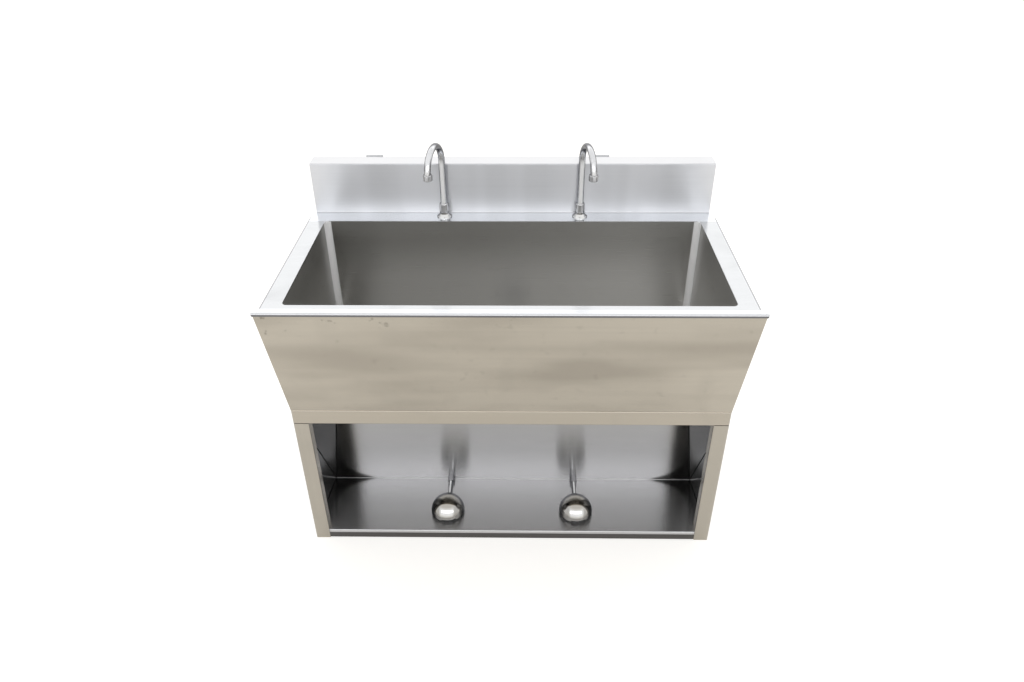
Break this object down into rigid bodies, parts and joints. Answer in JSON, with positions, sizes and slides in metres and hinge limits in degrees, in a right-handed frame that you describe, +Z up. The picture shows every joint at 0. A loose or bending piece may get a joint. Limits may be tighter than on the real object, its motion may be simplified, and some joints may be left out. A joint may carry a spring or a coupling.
{
  "type": "hand wash sink",
  "caption": "Stainless wash trough with a rear splashback, sloping apron and toe space, swivel gooseneck spouts and domed floor pedals that work them by foot.",
  "frame": {"origin": "on the floor, under the middle of the outer box", "axes": "+X along the trough to the user's right, +Y from the user towards the wall, +Z up"},
  "size_m": [1.22, 0.67, 1.1032],
  "materials": {
    "satin_sheet": "satin, grain along the length",
    "frame_sheet": "satin, grain along each member",
    "toe_sheet": "satin, slightly brighter than the frame",
    "mill_sheet": "mill finish",
    "chrome": "polished plate",
    "bright_steel": "drawn tube",
    "brass": "machined",
    "drain_steel": "pressed and drawn",
    "black_rubber": "matt",
    "spring_steel": "drawn wire"
  },
  "bodies": {
    "cabinet": {"basin": "satin_sheet", "deck": "satin_sheet", "front_apron": "satin_sheet", "backsplash": "satin_sheet", "left_splash_end": "satin_sheet", "right_splash_end": "satin_sheet", "left_side_panel": "satin_sheet", "right_side_panel": "satin_sheet", "top_rail": "frame_sheet", "left_stile": "frame_sheet", "right_stile": "frame_sheet", "bottom_rail": "frame_sheet", "toe_floor": "toe_sheet", "toe_back_panel": "toe_sheet", "left_liner": "toe_sheet", "right_liner": "toe_sheet", "rear_top_brace": "mill_sheet", "rear_middle_brace": "mill_sheet", "rear_bottom_brace": "mill_sheet", "basin_bearers": "mill_sheet", "wall_tabs": "mill_sheet", "left_spout_flange": "chrome", "right_spout_flange": "chrome", "left_spout_body": "chrome", "right_spout_body": "chrome", "neck_nuts": "chrome", "left_valve_base": "chrome", "right_valve_base": "chrome", "left_outlet_tube": "chrome", "right_outlet_tube": "chrome", "bulkhead_fittings": "chrome", "valve_screws": "chrome", "left_riser_pipe": "bright_steel", "right_riser_pipe": "bright_steel", "branch_tubes": "bright_steel", "supply_manifold": "bright_steel", "inlet_pipe": "bright_steel", "deck_locknuts": "brass", "tail_nuts": "brass", "inlet_fitting": "brass", "slip_nuts": "brass", "drain_locknut": "brass", "drain_body": "drain_steel", "drain_strainer": "drain_steel", "tailpiece": "drain_steel", "trap_bend": "drain_steel", "waste_arm": "drain_steel", "drain_gasket": "black_rubber", "left_valve_spring": "spring_steel", "right_valve_spring": "spring_steel"},
    "left_spout": {"left_gooseneck": "chrome", "left_aerator": "chrome"},
    "right_spout": {"right_gooseneck": "chrome", "right_aerator": "chrome"},
    "left_pedal": {"left_pedal_dome": "chrome", "left_pedal_stem": "bright_steel"},
    "right_pedal": {"right_pedal_dome": "chrome", "right_pedal_stem": "bright_steel"}
  },
  "joints": [
    {"name": "left_spout_swivel", "type": "hinge", "parent": "cabinet", "child": "left_spout", "pos_m": [-0.2, 0.231, 1.036], "axis": [0, 0, 1], "range_deg": [-76, 104]},
    {"name": "right_spout_swivel", "type": "hinge", "parent": "cabinet", "child": "right_spout", "pos_m": [0.2, 0.231, 1.036], "axis": [0, 0, 1], "range_deg": [-102, 78]},
    {"name": "left_pedal_press", "type": "slide", "parent": "cabinet", "child": "left_pedal", "axis": [0, 0, -1], "range_m": [0, 0.005], "stiffness_N_per_m": 1500, "springref_m": -0.006, "deforming": ["left_valve_spring"]},
    {"name": "right_pedal_press", "type": "slide", "parent": "cabinet", "child": "right_pedal", "axis": [0, 0, -1], "range_m": [0, 0.005], "stiffness_N_per_m": 1500, "springref_m": -0.006, "deforming": ["right_valve_spring"]}
  ]
}
